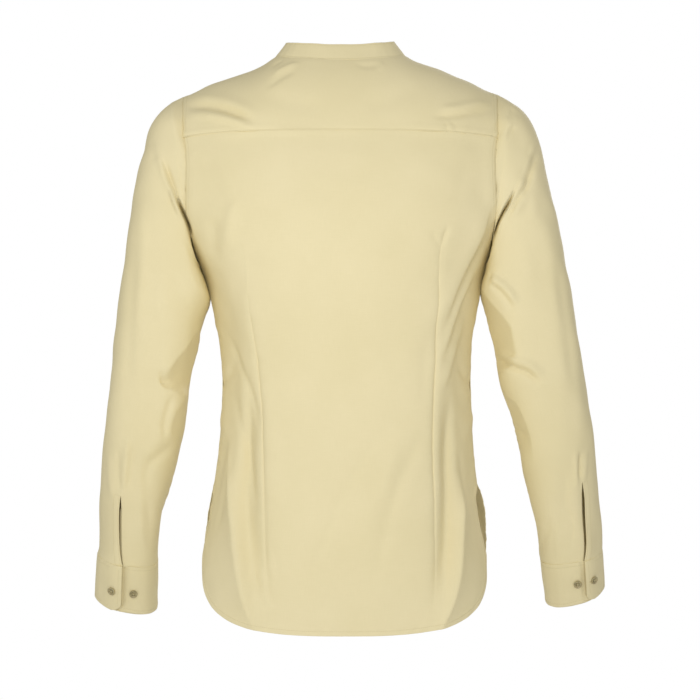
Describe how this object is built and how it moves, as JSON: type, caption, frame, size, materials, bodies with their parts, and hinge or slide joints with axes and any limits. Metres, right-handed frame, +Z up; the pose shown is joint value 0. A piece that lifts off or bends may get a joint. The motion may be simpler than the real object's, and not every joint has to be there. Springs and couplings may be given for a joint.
{
  "type": "mandarin collar shirt",
  "caption": "Long-sleeved woven shirt with a band collar, curved hem and buttoned cuffs, filled out as if worn.",
  "frame": {"origin": "middle of the neck opening, about 5 mm above the collar's seam at the centre back", "axes": "+Z up through the neck, +Y out of the shirt's back, +X towards the wearer's left arm"},
  "size_m": [0.6809, 0.2621, 0.7622],
  "materials": {
    "shirting": "matt, smooth plain weave",
    "shell_button": "soft gloss"
  },
  "bodies": {
    "root": {"back": "shirting", "yoke": "shirting", "left_front": "shirting", "right_front": "shirting", "collar": "shirting", "left_sleeve": "shirting", "right_sleeve": "shirting", "left_sleeve_placket": "shirting", "right_sleeve_placket": "shirting", "left_cuff": "shirting", "right_cuff": "shirting", "front_button_1": "shell_button", "front_button_2": "shell_button", "front_button_3": "shell_button", "front_button_4": "shell_button", "front_button_5": "shell_button", "front_button_6": "shell_button", "front_button_7": "shell_button", "collar_button": "shell_button", "left_cuff_outer_button": "shell_button", "left_cuff_inner_button": "shell_button", "right_cuff_outer_button": "shell_button", "right_cuff_inner_button": "shell_button"}
  },
  "joints": []
}
